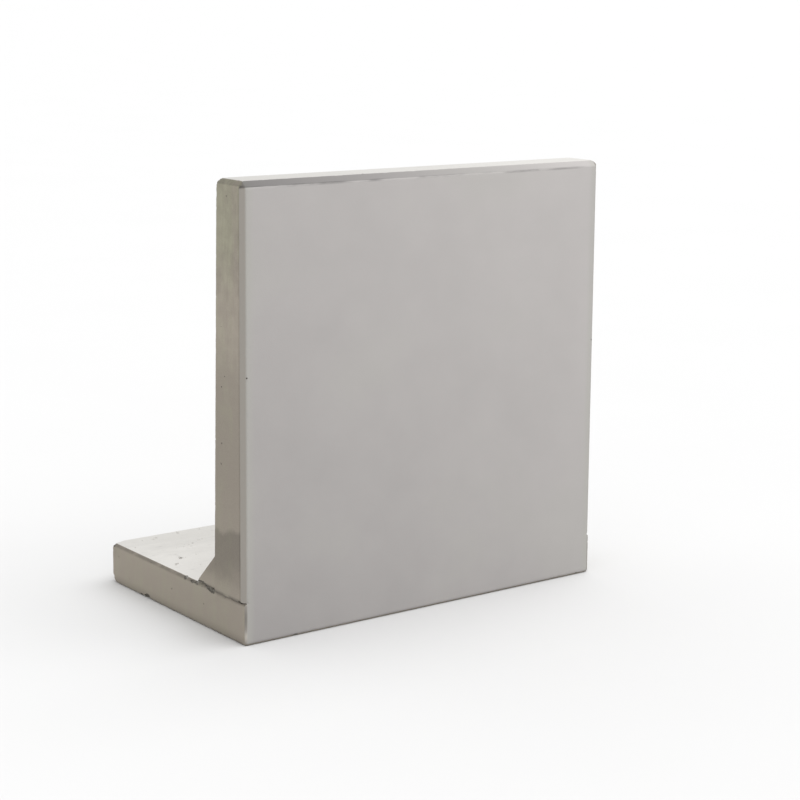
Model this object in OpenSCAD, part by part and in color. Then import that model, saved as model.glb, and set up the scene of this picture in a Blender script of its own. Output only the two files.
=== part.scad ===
// Precast concrete L-shaped retaining wall element.
// +X runs along the wall face, +Y from the smooth face towards the backfill, +Z up.
// The origin is the middle of the resting face, under the middle of the overall box.

/* [Wall] */
// Length of the element along its smooth face
wall_l = 990; // [790:10:1190]
// Height of the element
wall_h = 1000; // [900:10:1200]
// Thickness of the upright stem at its top
stem_top_t = 100; // [96:1:120]
// Thickness of the upright stem where it meets the foot
stem_base_t = 117; // [112:1:140]
// Depth of the foot, from the smooth face to the heel
foot_depth = 600; // [500:10:800]
// Thickness of the foot
foot_t = 95; // [92:1:120]
// How far each end of the foot stands back from the end of the stem
foot_inset = 5; // [2:0.5:8]
// Leg of the sloping haunch in the inner corner
haunch_leg = 85; // [60:5:100]

/* [Edges] */
// Chamfer along the top front edge
top_chamfer = 14; // [8:1:16]
// Chamfer on the front and top edges of both stem ends
end_chamfer = 11; // [6:1:14]
// Small chamfer on the rear edges of the stem
rear_chamfer = 4; // [2:1:6]
// Small chamfer round the resting face
base_chamfer = 4; // [2:1:6]
// Chamfer on the top side edges of the foot, which makes the mould seam under the stem
seam_chamfer = 5; // [3:1:6]
// Chamfer on the top edge of the heel
heel_chamfer = 12; // [6:1:16]
// Cut across the two plan corners of the heel
heel_corner = 14; // [6:1:20]
// Worn lower edge of the heel
heel_base_chamfer = 15; // [6:1:18]

/* [Reinforcement] */
// Concrete cover over the bars
cover = 30; // [25:1:32]
// Diameter of the bent main bars
main_d = 8; // [6:1:8]
// Diameter of the straight cross bars
cross_d = 6; // [5:1:6]
// Centreline radius of the bends
bend_r = 24; // [20:1:28]
// Gap left between crossing bars
layer_gap = 1; // [1:0.5:1.5]
// Number of bent bars in each layer
bar_count = 7; // [5:1:8]
// Number of cross bars in each layer of the stem
stem_cross_count = 7; // [5:1:7]
// Number of cross bars in each layer of the foot
foot_cross_count = 4; // [3:1:4]
// Sideways step from the middle of each bar pair
pair_step = 6; // [5:1:8]

/* [Lifting sockets] */
// Outer diameter of a cast-in lifting socket
socket_d = 22; // [20:1:24]
// Core diameter of its M16 thread
thread_core_d = 14; // [13.8:0.1:14.2]
// Depth of the threaded bore
thread_depth = 36; // [30:1:38]
// Distance of each socket from the middle of the wall
socket_x = 225; // [200:5:240]
// Diameter of the round recess where it meets the rear face
recess_d = 36; // [32:1:40]
// Depth of that recess at the socket
recess_depth = 8; // [5:1:10]
// Diameter of the anchor bar through the socket
anchor_d = 10; // [8:1:10]
// Length of the anchor bar
anchor_l = 160; // [120:10:180]

/* [Spacers] */
// Outer diameter of the clip of a cover spacer
clip_d = 16; // [14:1:18]
// Width of the clip along its bar
clip_w = 12; // [10:1:14]
// Diameter of the spacer's leg at the clip
leg_d = 10; // [8:1:12]
// Diameter of the spacer's leg at its tip
tip_d = 5; // [4:1:6]

/* [Hidden] */
$fn = 48;
eps = 0.01;
foot_l = wall_l - 2 * foot_inset;
// The bars of each layer, as distances from the smooth face and heights above the base
face_layer_y = cover + main_d / 2;
face_cross_y = face_layer_y + main_d / 2 + layer_gap + cross_d / 2;
rear_layer_y = stem_top_t - cover - main_d / 2;
rear_cross_y = rear_layer_y - main_d / 2 - layer_gap - cross_d / 2;
lower_layer_z = cover + main_d / 2;
lower_cross_z = lower_layer_z + main_d / 2 + layer_gap + cross_d / 2;
upper_layer_z = foot_t - cover - main_d / 2;
upper_cross_z = upper_layer_z - main_d / 2 - layer_gap - cross_d / 2;
bar_top_z = wall_h - cover - main_d / 2;
bar_back_y = foot_depth - cover - main_d / 2;
bar_pitch = (foot_l - 2 * (cover + main_d + pair_step)) / (bar_count - 1);
function bar_x(i) = (i - (bar_count + 1) / 2) * bar_pitch;
first_cross_z = foot_t + 45;
stem_cross_pitch = (wall_h - 50 - first_cross_z) / (stem_cross_count - 1);
function stem_cross_z(i) = first_cross_z + (i - 1) * stem_cross_pitch;
first_cross_y = stem_base_t + 23;
foot_cross_pitch = (foot_depth - 55 - first_cross_y) / (foot_cross_count - 1);
function foot_cross_y(i) = first_cross_y + (i - 1) * foot_cross_pitch;
stem_cross_l = wall_l - 2 * cover;
foot_cross_l = foot_l - 2 * cover;
// Rear face of the stem: its distance from the smooth face at a height
stem_taper = (stem_base_t - stem_top_t) / (wall_h - foot_t);
function rear_y(z) = stem_top_t + (wall_h - z) * stem_taper;
// A haunch bar keeps its cover from the haunch: y + z is the same all along it
slope_sum = stem_base_t + haunch_leg + foot_t - (cover + main_d / 2) * sqrt(2);
// The socket stands midway between two cross bars
socket_z = stem_cross_z(stem_cross_count - 2) + stem_cross_pitch / 2;
socket_mouth_y = rear_y(socket_z) - recess_depth;
socket_back_y = cover + 4;
anchor_y = face_layer_y + main_d / 2 + anchor_d / 2 + 3;
anchor_fit = 0.2;
clip_fit = 0.2;
tip_gap = 1;
spacer_bars = [2, bar_count - 1];
face_spacer_z = [stem_cross_z(2) - 35, stem_cross_z(stem_cross_count - 1) - 35];
foot_spacer_y = [foot_cross_y(2) - 35, foot_cross_y(foot_cross_count - 1) + 70];

BENT = [for (i = [1:bar_count]) i];

// Everything below is drawn with y = 0 at the smooth face, then moved so that the foot is centred.
module in_place() { translate([0, -foot_depth / 2, 0]) children(); }

// Turns a drawing made in (y, z) so that it stands in the side plane, with its height along X.
module side_plane(x = 0) { translate([x, 0, 0]) rotate([90, 0, 90]) children(); }

// A prism along X with the given side outline, centred on the middle of the wall.
module side_prism(length, outline) {
    side_plane(-length / 2) linear_extrude(length) polygon(outline);
}

// A prism along Y with the given front outline.
module front_prism(depth, outline) {
    translate([0, depth, 0]) rotate([90, 0, 0]) linear_extrude(depth) polygon(outline);
}

// ---- concrete ----

module stem_block() {
    half = wall_l / 2;
    intersection() {
        side_prism(wall_l, [
            [0, foot_t], [0, wall_h - top_chamfer], [top_chamfer, wall_h],
            [stem_top_t - rear_chamfer, wall_h], [rear_y(wall_h - rear_chamfer), wall_h - rear_chamfer],
            [rear_y(foot_t), foot_t]
        ]);
        linear_extrude(wall_h + 1) polygon([
            [end_chamfer - half, 0], [half - end_chamfer, 0], [half, end_chamfer],
            [half, stem_base_t + 1], [-half, stem_base_t + 1], [-half, end_chamfer]
        ]);
        front_prism(stem_base_t + 1, [
            [-half, 0], [half, 0], [half, wall_h - end_chamfer], [half - end_chamfer, wall_h],
            [end_chamfer - half, wall_h], [-half, wall_h - end_chamfer]
        ]);
    }
}

module foot_block() {
    half = foot_l / 2;
    front_arris = 3;
    intersection() {
        side_prism(foot_l, [
            [0, base_chamfer], [0, foot_t], [foot_depth - heel_chamfer, foot_t],
            [foot_depth, foot_t - heel_chamfer], [foot_depth, heel_base_chamfer],
            [foot_depth - heel_base_chamfer, 0], [base_chamfer, 0]
        ]);
        linear_extrude(foot_t + 1) polygon([
            [front_arris - half, 0], [half - front_arris, 0], [half, front_arris],
            [half, foot_depth - heel_corner], [half - heel_corner, foot_depth],
            [heel_corner - half, foot_depth], [-half, foot_depth - heel_corner], [-half, front_arris]
        ]);
        front_prism(foot_depth, [
            [base_chamfer - half, 0], [half - base_chamfer, 0], [half, base_chamfer],
            [half, foot_t - seam_chamfer], [half - seam_chamfer, foot_t],
            [seam_chamfer - half, foot_t], [-half, foot_t - seam_chamfer], [-half, base_chamfer]
        ]);
    }
}

module haunch_block() {
    inner_y = stem_top_t / 3;
    haunch_top_z = foot_t + haunch_leg;
    side_prism(foot_l, [
        [inner_y, foot_t], [inner_y, haunch_top_z], [rear_y(haunch_top_z), haunch_top_z],
        [stem_base_t + haunch_leg, foot_t]
    ]);
}

module concrete_wall() {
    color([0.69, 0.68, 0.66]) in_place() difference() {
        union() {
            stem_block();
            foot_block();
            haunch_block();
        }
        for (i = BENT) {
            rear_bar_shape(i);
            face_bar_shape(i);
        }
        for (i = [1:bar_count - 1]) haunch_bar_shape(i);
        for (i = [1:stem_cross_count]) {
            rear_cross_bar_shape(i);
            face_cross_bar_shape(i);
        }
        for (i = [1:foot_cross_count]) {
            foot_upper_cross_bar_shape(i);
            foot_lower_cross_bar_shape(i);
        }
        for (side = [-1, 1]) {
            socket_shape(side);
            anchor_bar_shape(side);
            recess_shape(side);
        }
        for (i = spacer_bars) {
            for (z = face_spacer_z) face_spacer_shape(i, z);
            for (y = foot_spacer_y) foot_spacer_shape(i, y);
        }
    }
}

// ---- reinforcement ----

// A rod in the (y, z) drawing plane from one point to another.
module rod(a, b, d) {
    run = b - a;
    translate([a[0], a[1], 0]) rotate([0, 0, atan2(run[1], run[0])])
        rotate([0, 90, 0]) cylinder(d = d, h = norm(run));
}

// A quarter bend in the (y, z) drawing plane, from straight up to straight back, about a centre.
module quarter_bend(centre, d) {
    translate([centre[0], centre[1], 0]) rotate([0, 0, 180])
        rotate_extrude(angle = 90) translate([bend_r, 0]) circle(d = d);
}

// An L-shaped bar: down an upright leg at leg_y, round the bend and back along the foot at leg_z.
module l_bar_shape(x, leg_y, leg_z) {
    side_plane(x) {
        rod([leg_y, bar_top_z], [leg_y, leg_z + bend_r], main_d);
        quarter_bend([leg_y + bend_r, leg_z + bend_r], main_d);
        rod([leg_y + bend_r, leg_z], [bar_back_y, leg_z], main_d);
    }
}

module rear_bar_shape(i) { l_bar_shape(bar_x(i) - pair_step, rear_layer_y, lower_layer_z); }

module face_bar_shape(i) { l_bar_shape(bar_x(i) + pair_step, face_layer_y, upper_layer_z); }

// A straight bar that slopes across the inner corner, from the foot up into the stem.
module haunch_bar_shape(i) {
    low_z = lower_layer_z + main_d;
    high_y = face_layer_y + main_d;
    side_plane(bar_x(i) + bar_pitch / 2)
        rod([slope_sum - low_z, low_z], [high_y, slope_sum - high_y], main_d);
}

// A straight bar along X.
module cross_bar_shape(y, z, length) {
    translate([-length / 2, y, z]) rotate([0, 90, 0]) cylinder(d = cross_d, h = length);
}

module rear_cross_bar_shape(i) { cross_bar_shape(rear_cross_y, stem_cross_z(i), stem_cross_l); }

module face_cross_bar_shape(i) { cross_bar_shape(face_cross_y, stem_cross_z(i), stem_cross_l); }

module foot_upper_cross_bar_shape(i) { cross_bar_shape(foot_cross_y(i), upper_cross_z, foot_cross_l); }

module foot_lower_cross_bar_shape(i) { cross_bar_shape(foot_cross_y(i), lower_cross_z, foot_cross_l); }

module steel() { color([0.42, 0.33, 0.27]) in_place() children(); }

module rear_bar(i) { steel() rear_bar_shape(i); }

module face_bar(i) { steel() face_bar_shape(i); }

module haunch_bar(i) { steel() haunch_bar_shape(i); }

module rear_cross_bar(i) { steel() rear_cross_bar_shape(i); }

module face_cross_bar(i) { steel() face_cross_bar_shape(i); }

module foot_upper_cross_bar(i) { steel() foot_upper_cross_bar_shape(i); }

module foot_lower_cross_bar(i) { steel() foot_lower_cross_bar_shape(i); }

// ---- lifting sockets ----

// A rod along +Y from y1 to y2 at one side's socket.
module socket_rod(side, y1, y2, d1, d2) {
    translate([side * socket_x, y1, socket_z]) rotate([-90, 0, 0])
        cylinder(d1 = d1, d2 = d2, h = y2 - y1);
}

module socket_shape(side) { socket_rod(side, socket_back_y, socket_mouth_y, socket_d, socket_d); }

// The round recess left by the mould plate that held the socket.
module recess_shape(side) {
    over = 6;
    flare = (recess_d - socket_d - 4) / recess_depth;
    socket_rod(side, socket_mouth_y, socket_mouth_y + recess_depth + over,
        socket_d + 4, recess_d + flare * over);
}

module anchor_bar_shape(side) {
    translate([side * socket_x - anchor_l / 2, anchor_y, socket_z]) rotate([0, 90, 0])
        cylinder(d = anchor_d, h = anchor_l);
}

module lifting_socket(side) {
    color([0.72, 0.73, 0.74]) in_place() difference() {
        socket_shape(side);
        socket_rod(side, socket_mouth_y - thread_depth, socket_mouth_y + 1, thread_core_d, thread_core_d);
        translate([side * socket_x - socket_d, anchor_y, socket_z]) rotate([0, 90, 0])
            cylinder(d = anchor_d + anchor_fit, h = 2 * socket_d);
    }
}

module left_lifting_socket() { lifting_socket(-1); }

module right_lifting_socket() { lifting_socket(1); }

module left_anchor_bar() { steel() anchor_bar_shape(-1); }

module right_anchor_bar() { steel() anchor_bar_shape(1); }

// ---- cover spacers ----

// A spacer drawn round an upright bar, with its leg pointing along -Y to a tip at the given reach.
module spacer_shape(reach) {
    translate([0, 0, -clip_w / 2]) cylinder(d = clip_d, h = clip_w);
    rotate([90, 0, 0]) cylinder(d1 = leg_d, d2 = tip_d, h = reach);
}

module spacer_hole() {
    translate([0, 0, -clip_w / 2 - eps]) cylinder(d = main_d + 2 * clip_fit, h = clip_w + 2 * eps);
}

module at_face_spacer(i, z) { translate([bar_x(i) + pair_step, face_layer_y, z]) children(); }

module at_foot_spacer(i, y) {
    translate([bar_x(i) - pair_step, y, lower_layer_z]) rotate([90, 0, 0]) children();
}

module face_spacer_shape(i, z) { at_face_spacer(i, z) spacer_shape(face_layer_y - tip_gap); }

module foot_spacer_shape(i, y) { at_foot_spacer(i, y) spacer_shape(lower_layer_z - tip_gap); }

module face_spacers() {
    color([0.25, 0.26, 0.28]) in_place() for (i = spacer_bars, z = face_spacer_z)
        difference() {
            face_spacer_shape(i, z);
            at_face_spacer(i, z) spacer_hole();
        }
}

module foot_spacers() {
    color([0.25, 0.26, 0.28]) in_place() for (i = spacer_bars, y = foot_spacer_y)
        difference() {
            foot_spacer_shape(i, y);
            at_foot_spacer(i, y) spacer_hole();
        }
}

concrete_wall();
for (i = BENT) {
    rear_bar(i);
    face_bar(i);
}
for (i = [1:bar_count - 1]) {
    haunch_bar(i);
}
for (i = [1:stem_cross_count]) {
    rear_cross_bar(i);
    face_cross_bar(i);
}
for (i = [1:foot_cross_count]) {
    foot_upper_cross_bar(i);
    foot_lower_cross_bar(i);
}
left_lifting_socket();
right_lifting_socket();
left_anchor_bar();
right_anchor_bar();
face_spacers();
foot_spacers();
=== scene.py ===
# %% [markdown]
# # A precast L-shaped retaining wall element
#
# This notebook dresses an engineering model of a concrete wall element for a picture. The element is cast
# in one pour: an upright stem with a smooth face, a flat foot behind it, and a small haunch in the corner
# between them. A cage of ribbed steel bars lies inside, and two threaded sockets in the back take the
# lifting gear.
#
# The engineering model is loaded first and never changed. Each piece built here takes its place from it.

# %% Load the frame
import math
import random

import bmesh
import bpy
import numpy as np
from mathutils import Matrix, Vector, noise


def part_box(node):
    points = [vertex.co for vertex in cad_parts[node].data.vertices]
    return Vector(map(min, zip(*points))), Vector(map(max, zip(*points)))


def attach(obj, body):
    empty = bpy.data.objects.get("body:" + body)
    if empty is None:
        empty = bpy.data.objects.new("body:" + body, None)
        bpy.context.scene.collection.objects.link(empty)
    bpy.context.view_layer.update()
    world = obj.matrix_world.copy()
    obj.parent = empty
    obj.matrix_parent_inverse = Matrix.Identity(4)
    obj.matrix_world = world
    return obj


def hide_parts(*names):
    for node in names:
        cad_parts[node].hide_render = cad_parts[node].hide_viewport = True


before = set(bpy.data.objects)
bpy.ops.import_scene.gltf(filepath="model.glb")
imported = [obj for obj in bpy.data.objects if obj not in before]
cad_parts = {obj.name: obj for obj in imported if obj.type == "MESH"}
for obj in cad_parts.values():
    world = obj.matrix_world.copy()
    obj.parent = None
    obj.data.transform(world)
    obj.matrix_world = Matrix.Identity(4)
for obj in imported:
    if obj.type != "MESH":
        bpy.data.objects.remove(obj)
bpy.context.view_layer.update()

# %% [markdown]
# ## The wall's own measures
#
# X runs along the wall, Y from the smooth face towards the backfill, and Z up. The outer corners come
# from the loaded node. The smaller sizes, such as the chamfers, are named here once for every later step.

# %% Name the measures
MM = 0.001
WALL_LOW, WALL_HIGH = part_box("concrete_wall")
HALF = WALL_HIGH.x
FACE_Y = WALL_LOW.y
HEEL_Y = WALL_HIGH.y
TOP_Z = WALL_HIGH.z

FOOT_TOP = 95 * MM
FOOT_HALF = HALF - 5 * MM
STEM_TOP_T = 100 * MM
STEM_BASE_T = 117 * MM
HAUNCH = 85 * MM

TOP_CHAMFER = 14 * MM
END_CHAMFER = 11 * MM
REAR_CHAMFER = 4 * MM
RIM_CHAMFER = 5 * MM
BASE_CHAMFER = 4 * MM
FACE_CHAMFER = 3 * MM
HEEL_TOP_CHAMFER = 12 * MM
HEEL_CORNER_CHAMFER = 14 * MM
HEEL_BASE_CHAMFER = 15 * MM
TAPER = (STEM_BASE_T - STEM_TOP_T) / (TOP_Z - FOOT_TOP)


def rear_y(z):
    """Where the back of the stem is at a height."""
    return FACE_Y + STEM_TOP_T + TAPER * (TOP_Z - z)


print("stem", STEM_TOP_T, "to", STEM_BASE_T, "m; its back leans", round(math.degrees(TAPER), 2), "degrees")

# %% [markdown]
# ## The camera
#
# The view is from the front left and a little above, through a long lens, so lines converge only
# slightly. A little shift lets the camera stand higher without tilting so far, which keeps the uprights
# closer to parallel. Aiming at a point and stepping back along the line of sight is easier to adjust than
# a typed position.

# %% Place the camera
VIEW_AZIMUTH = math.radians(-36.6)
VIEW_ELEVATION = math.radians(9.25)
VIEW_ROLL = math.radians(0.5)
VIEW_DISTANCE = 4.84
AIM = Vector((0.138, 0.0, 0.630))
LENS_MM = 91.0
SHIFT_UP = -0.11

towards_camera = Vector((
    math.sin(VIEW_AZIMUTH) * math.cos(VIEW_ELEVATION),
    -math.cos(VIEW_AZIMUTH) * math.cos(VIEW_ELEVATION),
    math.sin(VIEW_ELEVATION),
))
lens = bpy.data.cameras.new("view_camera")
lens.lens = LENS_MM
lens.shift_y = SHIFT_UP
camera = bpy.data.objects.new("view_camera", lens)
bpy.context.scene.collection.objects.link(camera)
camera.location = AIM + towards_camera * VIEW_DISTANCE
turn = towards_camera.to_track_quat("Z", "Y").to_matrix().to_4x4() @ Matrix.Rotation(VIEW_ROLL, 4, "Z")
camera.rotation_euler = turn.to_euler()
bpy.context.scene.camera = camera
print("camera at", tuple(round(c, 3) for c in camera.location), "with a", LENS_MM, "mm lens")

# %% [markdown]
# ## Floor and light
#
# A pale floor and an evenly bright sky give the soft light of a studio. The lit floor is about as bright
# as the sky, so the horizon hardly shows. A wide sun from above the right-hand side makes the tops
# brighter than the uprights and leaves only a faint shadow.

# %% Light the studio
SKY = 0.97
FLOOR_GREY = 0.675
FLOOR_RADIUS = 400.0
SUN_STRENGTH = 1.75
SUN_ANGLE = math.radians(75)
SUN_FROM = Vector((0.45, -0.30, 1.0))

scene = bpy.context.scene
scene.view_settings.view_transform = "Standard"

world = bpy.data.worlds.new("studio_sky")
scene.world = world
world.use_nodes = True
sky = world.node_tree.nodes["Background"]
sky.inputs["Color"].default_value = (1.0, 1.0, 1.0, 1.0)
sky.inputs["Strength"].default_value = SKY

sun = bpy.data.lights.new("soft_sun", "SUN")
sun.energy = SUN_STRENGTH
sun.angle = SUN_ANGLE
sun_lamp = bpy.data.objects.new("soft_sun", sun)
scene.collection.objects.link(sun_lamp)
sun_lamp.rotation_euler = SUN_FROM.to_track_quat("Z", "Y").to_euler()
print("sun of", SUN_STRENGTH, "over a sky of", SKY)

# %% [markdown]
# ## Small helpers for meshes
#
# Several solids here are tubes of some kind: a ribbed bar, a threaded socket, the ragged line where
# concrete has broken away. A tube is a row of rings joined by quads and closed at both ends, so one
# function that takes an array of rings makes them all.


# %% Mesh helpers
def new_object(name, mesh):
    """An object for the mesh, put into the scene."""
    made = bpy.data.objects.new(name, mesh)
    bpy.context.scene.collection.objects.link(made)
    return made


def face_outward(mesh):
    """Turns every face of a closed mesh so that its front is outside."""
    block = bmesh.new()
    block.from_mesh(mesh)
    bmesh.ops.recalc_face_normals(block, faces=block.faces[:])
    block.to_mesh(mesh)
    block.free()


def smooth(mesh, degrees):
    """Shades a mesh smooth, apart from edges that turn by more than the angle."""
    mesh.shade_smooth()
    mesh.set_sharp_from_angle(angle=math.radians(degrees))


def tube_mesh(name, rings):
    """A closed mesh through rings, an array of ring x side x 3."""
    count, sides = rings.shape[:2]
    around = np.arange(sides)
    beside = np.roll(around, -1)
    first = np.arange(count - 1)[:, None] * sides
    second = first + sides
    quads = np.stack([first + around, first + beside, second + beside, second + around], axis=2)
    faces = quads.reshape(-1, 4).tolist()
    faces += [around[::-1].tolist(), (around + (count - 1) * sides).tolist()]
    mesh = bpy.data.meshes.new(name)
    mesh.from_pydata(rings.reshape(-1, 3).tolist(), [], faces)
    face_outward(mesh)
    return mesh


print("mesh helpers: new_object, face_outward, smooth, tube_mesh")

# %% [markdown]
# ## Shader maths as Python
#
# A long network of nodes is hard to read. This class wraps one socket so that sums can be written as
# sums: each operator adds the Math node that does it. `make` adds any other node. It takes the node's own
# settings first, then what goes into its sockets: numbers or other wrapped sockets.


# %% The socket wrapper
class Wire:
    """A socket of a node tree that can be used in sums."""

    def __init__(self, tree, socket=None):
        self.tree = tree
        self.socket = socket

    def make(self, kind, settings=None, inputs=None, out=0):
        node = self.tree.nodes.new(kind)
        for name, value in (settings or {}).items():
            setattr(node, name, value)
        for name, value in (inputs or {}).items():
            if isinstance(value, Wire):
                self.tree.links.new(value.socket, node.inputs[name])
            else:
                node.inputs[name].default_value = value
        return Wire(self.tree, node.outputs[out])

    def sum_of(self, operation, *values):
        return self.make("ShaderNodeMath", {"operation": operation}, dict(enumerate(values)))

    def __add__(self, other):
        return self.sum_of("ADD", self, other)

    def __sub__(self, other):
        return self.sum_of("SUBTRACT", self, other)

    def __rsub__(self, other):
        return self.sum_of("SUBTRACT", other, self)

    def __mul__(self, other):
        return self.sum_of("MULTIPLY", self, other)

    __radd__ = __add__
    __rmul__ = __mul__

    def __abs__(self):
        return self.sum_of("ABSOLUTE", self)

    def axis(self, letter):
        """One coordinate of a vector."""
        return self.make("ShaderNodeSeparateXYZ", None, {"Vector": self}, out=letter)

    def rise(self, low, high):
        """0 below low, 1 above high, and smooth between them. With low above high it falls instead."""
        ends = {"Value": self, "From Min": low, "From Max": high}
        return self.make("ShaderNodeMapRange", {"interpolation_type": "SMOOTHSTEP"}, ends)

    def near(self, middle, width):
        """1 at the middle, falling to 0 at width on either side."""
        return abs(self - middle).rise(width, 0.0)


print("operators: + - * and abs(); make() adds any other node")

# %% [markdown]
# ## What every finish needs
#
# Concrete, steel and plastic all vary from place to place. Each finish starts with the place on the
# surface and with clouds of noise, both in metres. Real sizes keep the grain right: sand is a millimetre
# across, a damp patch a hand's width.


# %% Material helpers
def new_material(name):
    """A material, and the point on the surface in metres."""
    material = bpy.data.materials.new(name)
    material.use_nodes = True
    return material, Wire(material.node_tree).make("ShaderNodeTexCoord", out="Object")


def cloud(place, size, detail=3.0, stretch=(1.0, 1.0, 1.0), shift=0.0):
    """Noise from 0 to 1 with lumps of about that size in metres, longer where stretch is more than 1."""
    scale = tuple(1.0 / (size * factor) for factor in stretch)
    moves = {"Vector": place, "Scale": scale, "Location": (shift,) * 3}
    moved = place.make("ShaderNodeMapping", None, moves)
    return place.make("ShaderNodeTexNoise", None, {"Vector": moved, "Scale": 1.0, "Detail": detail})


def blend(factor, first, second):
    """A colour that goes from first to second. Each is a wire or red, green and blue."""
    ends = {}
    for name, colour in ((6, first), (7, second)):
        ends[name] = colour if isinstance(colour, Wire) else (*colour, 1.0)
    return factor.make("ShaderNodeMix", {"data_type": "RGBA"}, {0: factor, **ends}, out=2)


def shade(colour, amount):
    """The colour made darker or lighter by a factor, which is a wire."""
    grey = amount.make("ShaderNodeCombineColor", None, {"Red": amount, "Green": amount, "Blue": amount})
    tint = {"data_type": "RGBA", "blend_type": "MULTIPLY"}
    return amount.make("ShaderNodeMix", tint, {0: 1.0, 6: colour, 7: grey}, out=2)


def plug(material, colour, roughness, height=None, depth=0.0, metallic=0.0):
    """Feeds the material's shader its colour and roughness, and a bump of that height times depth metres."""
    nodes, links = material.node_tree.nodes, material.node_tree.links
    shader = nodes["Principled BSDF"]
    shader.inputs["Metallic"].default_value = metallic
    links.new(colour.socket, shader.inputs["Base Color"])
    links.new(roughness.socket, shader.inputs["Roughness"])
    if height is not None:
        bump = height.make("ShaderNodeBump", None, {"Height": height, "Distance": depth, "Strength": 1.0})
        links.new(bump.socket, shader.inputs["Normal"])
    print(material.name, "has", len(nodes), "nodes")
    return material


print("material helpers: new_material, cloud, blend, shade, plug")

# %% [markdown]
# ## Finish: the formed face
#
# The front was cast against a smooth steel mould, so it is even and nearly without pores. It is painted
# paler towards the upper right corner as painted light, and has faint greenish patches and a fine grain.
# Clouds of very different size, all weak, read as concrete; one strong cloud would read as marble. The end
# chamfers are browner, the right one with painted shade, and the top chamfer is grey on the left. Painted
# shade runs along the bottom edge, and the foot's left arris has painted shade over a painted highlight.

# %% Formed face
FORMED_DARK = (0.308, 0.293, 0.286)
FORMED_LIGHT = (0.470, 0.448, 0.437)
ARRIS_GREEN = (0.375, 0.372, 0.338)
ARRIS_BROWN = (0.285, 0.262, 0.232)


def formed_face():
    material, place = new_material("formed_face")
    x, z = (place.axis(letter) for letter in "XZ")
    drift = cloud(place, 0.30, 2.0)
    patches = cloud(place, 0.07, 3.0, shift=3.0)
    grain = cloud(place, 0.0025, 2.0)
    # Painted light: the face is painted paler towards the upper right corner.
    painted_light_corner = x * 0.40 + z * 0.45 + 0.29
    tone = painted_light_corner + (drift - 0.5) * 0.30 + (patches - 0.5) * 0.20 + (grain - 0.5) * 0.14
    colour = blend(tone, FORMED_DARK, FORMED_LIGHT)
    beside_arris = abs(x).rise(HALF - 34 * MM, HALF - 13 * MM)
    colour = blend(drift.rise(0.50, 0.75) * 0.22 + beside_arris * 0.50, colour, ARRIS_GREEN)
    end_strip = abs(x).rise(HALF - 12 * MM, HALF - 8 * MM)
    colour = blend(end_strip * 0.85, colour, ARRIS_BROWN)
    top_arris = TOP_Z - TOP_CHAMFER
    broken_line = cloud(place, 0.03, 4.0, (4.0, 1.0, 1.0)).rise(0.42, 0.62)
    under_edge = z.near(top_arris, 4 * MM) * broken_line
    # The top chamfer is made darker, more so towards the left.
    darker_left_top = z.rise(top_arris, top_arris + 2 * MM) * (0.29 - x * 0.60)
    # Painted shade on the right end chamfer.
    painted_shade_right_strip = end_strip * x.rise(0.0, 0.4)
    # Painted shade along the bottom edge of the face.
    painted_bottom_shade = z.rise(9 * MM, 3 * MM)
    # Painted shade on the foot's left arris, with a painted highlight below it.
    foot_arris = x.rise(7 * MM - FOOT_HALF, 4 * MM - FOOT_HALF)
    shadowed = foot_arris * z.near(62 * MM, 36 * MM)
    painted_highlight = foot_arris * z.near(22 * MM, 17 * MM)
    darker = under_edge * 0.42 + painted_shade_right_strip * 0.22 + darker_left_top + painted_bottom_shade * 0.30 + shadowed * 0.32
    colour = shade(colour, 1.0 - darker + painted_highlight * 0.42)
    return plug(material, colour, 0.78 + patches * 0.12, grain, 0.25 * MM)


FORMED = formed_face()

# %% [markdown]
# ## Finish: the ends
#
# The ends were cast against side shutters that leak a little, and they are handled and rained on. They
# are a warmer, darker olive grey with upright streaks, which are noise stretched along Z, and browner by
# the smooth face and lower down. A damp patch with an uneven upper edge sits low on the stem. The
# chamfered rims of the foot and of the stem's top get painted shade, the ends darken at the bottom edge,
# and the seam has a stain mixed with painted shade. Each of these is a mask from 0 to 1: a range of
# heights or depths, broken up by noise.

# %% End faces
END_OLIVE = (0.305, 0.290, 0.219)
END_BROWN = (0.294, 0.260, 0.217)


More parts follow.
